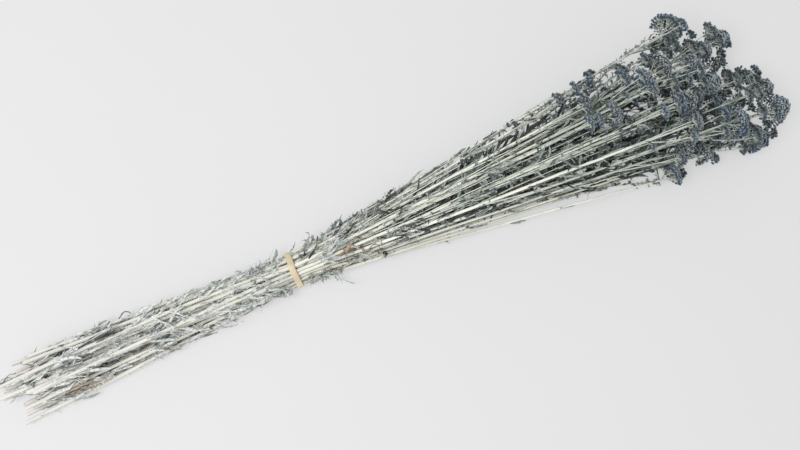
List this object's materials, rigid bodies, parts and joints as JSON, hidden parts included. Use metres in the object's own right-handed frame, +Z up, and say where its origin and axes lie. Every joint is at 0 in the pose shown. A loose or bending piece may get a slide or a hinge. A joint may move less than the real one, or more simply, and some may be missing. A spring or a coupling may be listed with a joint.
{
  "type": "dried yarrow bunch",
  "caption": "Bunch of dried yarrow lying on its side: leafy pale stalks held by a flat rubber band, fanning out to flat-topped blue-grey flower heads.",
  "frame": {"origin": "centre of the bounding box on the table's surface", "axes": "+X along the stems from their cut feet to the flower heads, +Y across the bunch, +Z up"},
  "size_m": [0.7006, 0.1396, 0.0847],
  "materials": {
    "stalk": "dry pale greenish cream stalks with grey-green leaves, matt",
    "flower": "dried blue-grey flower heads with light specks, matt",
    "band": "plain beige rubber, slight sheen"
  },
  "bodies": {
    "root": {"leafy_stalk_01": "stalk", "leafy_stalk_02": "stalk", "leafy_stalk_03": "stalk", "leafy_stalk_04": "stalk", "leafy_stalk_05": "stalk", "leafy_stalk_06": "stalk", "leafy_stalk_07": "stalk", "leafy_stalk_08": "stalk", "leafy_stalk_09": "stalk", "leafy_stalk_10": "stalk", "leafy_stalk_11": "stalk", "leafy_stalk_12": "stalk", "leafy_stalk_13": "stalk", "leafy_stalk_14": "stalk", "leafy_stalk_15": "stalk", "leafy_stalk_16": "stalk", "leafy_stalk_17": "stalk", "leafy_stalk_18": "stalk", "leafy_stalk_19": "stalk", "leafy_stalk_20": "stalk", "leafy_stalk_21": "stalk", "leafy_stalk_22": "stalk", "leafy_stalk_23": "stalk", "leafy_stalk_24": "stalk", "leafy_stalk_25": "stalk", "leafy_stalk_26": "stalk", "leafy_stalk_27": "stalk", "leafy_stalk_28": "stalk", "leafy_stalk_29": "stalk", "flowering_top_01": "flower", "flowering_top_02": "flower", "flowering_top_03": "flower", "flowering_top_04": "flower", "flowering_top_05": "flower", "flowering_top_06": "flower", "flowering_top_07": "flower", "flowering_top_08": "flower", "flowering_top_09": "flower", "flowering_top_10": "flower", "flowering_top_11": "flower", "flowering_top_12": "flower", "flowering_top_13": "flower", "flowering_top_14": "flower", "flowering_top_15": "flower", "flowering_top_16": "flower", "flowering_top_17": "flower", "flowering_top_18": "flower", "flowering_top_19": "flower", "flowering_top_20": "flower", "flowering_top_21": "flower", "flowering_top_22": "flower", "flowering_top_23": "flower", "flowering_top_24": "flower", "flowering_top_25": "flower", "flowering_top_26": "flower", "flowering_top_27": "flower", "flowering_top_28": "flower", "flowering_top_29": "flower", "rubber_band": "band"}
  },
  "joints": []
}
